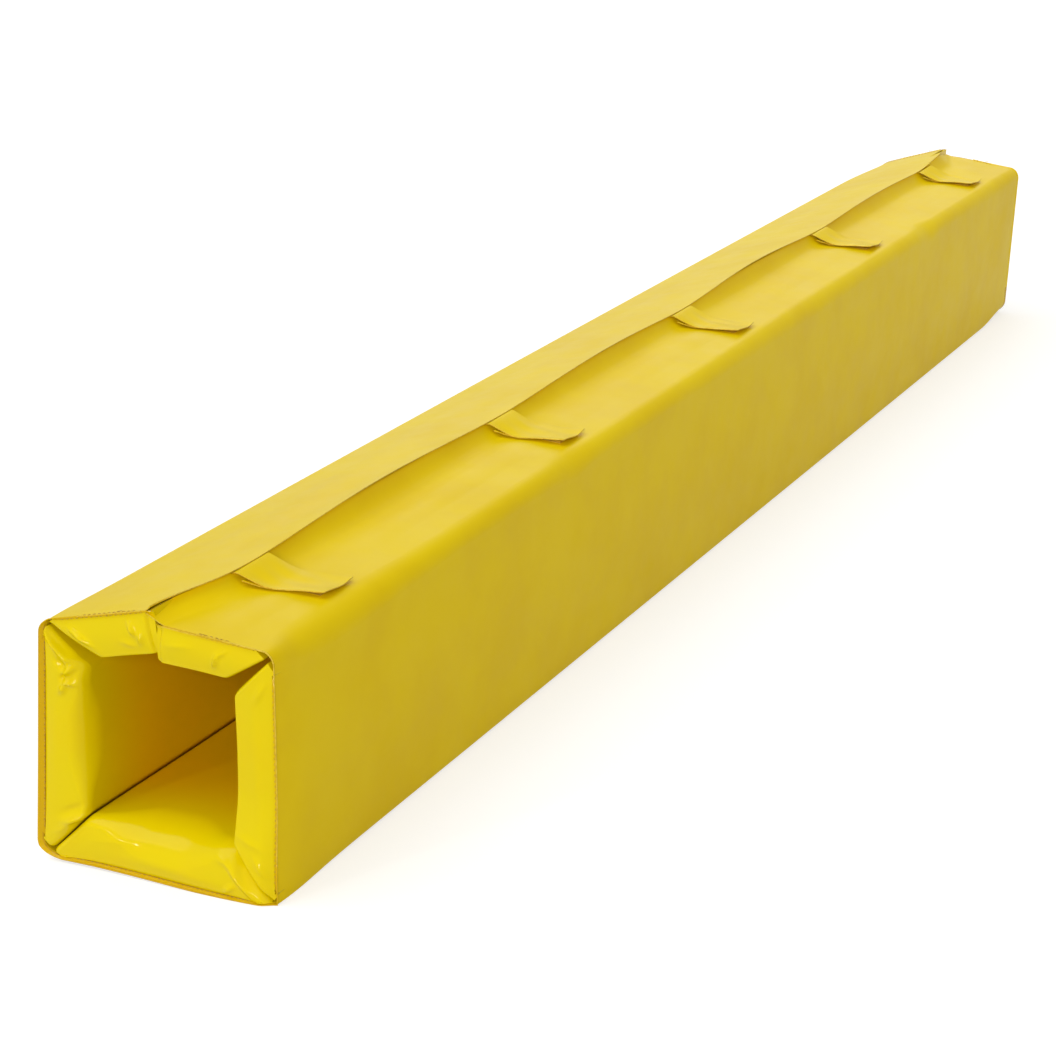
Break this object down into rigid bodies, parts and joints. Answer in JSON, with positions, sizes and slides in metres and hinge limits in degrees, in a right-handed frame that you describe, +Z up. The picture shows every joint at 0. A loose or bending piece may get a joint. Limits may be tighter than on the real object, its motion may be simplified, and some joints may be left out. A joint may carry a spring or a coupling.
{
  "type": "column pad",
  "caption": "Square padded sleeve that closes round a post: mitred foam panels in yellow coated cloth, folding open at the corners, shut by a flap and hook-and-loop tabs.",
  "frame": {"origin": "middle of the underside, on the surface that the sleeve lies on", "axes": "+Y along the sleeve, away from the end that the picture shows; +X across it, towards the side that the tabs point to; +Z up, out of the side with the slit"},
  "size_m": [0.2, 2, 0.2268],
  "materials": {
    "cover_cloth": "satin",
    "lining_cloth": "gloss",
    "foam": "matte",
    "hook_tape": "matte",
    "loop_tape": "matte"
  },
  "bodies": {
    "bottom_panel": {"cover_bottom": "cover_cloth", "lining_bottom": "lining_cloth", "foam_bottom": "foam", "fold_bottom_left": "cover_cloth", "fold_bottom_right": "cover_cloth"},
    "left_panel": {"cover_left": "cover_cloth", "lining_left": "lining_cloth", "foam_left": "foam", "fold_top_left": "cover_cloth"},
    "right_panel": {"cover_right": "cover_cloth", "lining_right": "lining_cloth", "foam_right": "foam", "fold_top_right": "cover_cloth"},
    "left_top_half": {"cover_top_left": "cover_cloth", "lining_top_left": "lining_cloth", "foam_top_left": "foam", "closing_flap": "cover_cloth"},
    "right_top_half": {"cover_top_right": "cover_cloth", "lining_top_right": "lining_cloth", "foam_top_right": "foam", "closing_lip": "cover_cloth", "loop_tape_1": "loop_tape", "loop_tape_2": "loop_tape", "loop_tape_3": "loop_tape", "loop_tape_4": "loop_tape", "loop_tape_5": "loop_tape"},
    "tab_1_body": {"tab_1": "cover_cloth", "hook_tape_1": "hook_tape"},
    "tab_2_body": {"tab_2": "cover_cloth", "hook_tape_2": "hook_tape"},
    "tab_3_body": {"tab_3": "cover_cloth", "hook_tape_3": "hook_tape"},
    "tab_4_body": {"tab_4": "cover_cloth", "hook_tape_4": "hook_tape"},
    "tab_5_body": {"tab_5": "cover_cloth", "hook_tape_5": "hook_tape"}
  },
  "joints": [
    {"name": "left_fold", "type": "hinge", "parent": "bottom_panel", "child": "left_panel", "pos_m": [-0.09742, 0, 0.00258], "axis": [0, -1, 0], "range_deg": [0, 90], "deforming": ["fold_bottom_left"]},
    {"name": "right_fold", "type": "hinge", "parent": "bottom_panel", "child": "right_panel", "pos_m": [0.09742, 0, 0.00258], "axis": [0, 1, 0], "range_deg": [0, 90], "deforming": ["fold_bottom_right"]},
    {"name": "left_top_fold", "type": "hinge", "parent": "left_panel", "child": "left_top_half", "pos_m": [-0.09742, 0, 0.19742], "axis": [0, -1, 0], "range_deg": [0, 78], "deforming": ["fold_top_left", "closing_flap"]},
    {"name": "right_top_fold", "type": "hinge", "parent": "right_panel", "child": "right_top_half", "pos_m": [0.09742, 0, 0.19742], "axis": [0, 1, 0], "range_deg": [0, 84], "deforming": ["fold_top_right", "closing_lip"]},
    {"name": "tab_1_peel", "type": "hinge", "parent": "left_top_half", "child": "tab_1_body", "pos_m": [0.012, -0.875, 0.22097], "axis": [0, -1, 0], "range_deg": [0, 150]},
    {"name": "tab_2_peel", "type": "hinge", "parent": "left_top_half", "child": "tab_2_body", "pos_m": [0.012, -0.4375, 0.22097], "axis": [0, -1, 0], "range_deg": [0, 150]},
    {"name": "tab_3_peel", "type": "hinge", "parent": "left_top_half", "child": "tab_3_body", "pos_m": [0.012, 0, 0.22097], "axis": [0, -1, 0], "range_deg": [0, 150]},
    {"name": "tab_4_peel", "type": "hinge", "parent": "left_top_half", "child": "tab_4_body", "pos_m": [0.012, 0.4375, 0.22097], "axis": [0, -1, 0], "range_deg": [0, 150]},
    {"name": "tab_5_peel", "type": "hinge", "parent": "left_top_half", "child": "tab_5_body", "pos_m": [0.012, 0.875, 0.22097], "axis": [0, -1, 0], "range_deg": [0, 150]}
  ],
  "couplings": [
    {"joint": "right_fold", "follows": "left_fold", "ratio": 1},
    {"joint": "right_top_fold", "follows": "left_top_fold", "ratio": 1.0769}
  ]
}
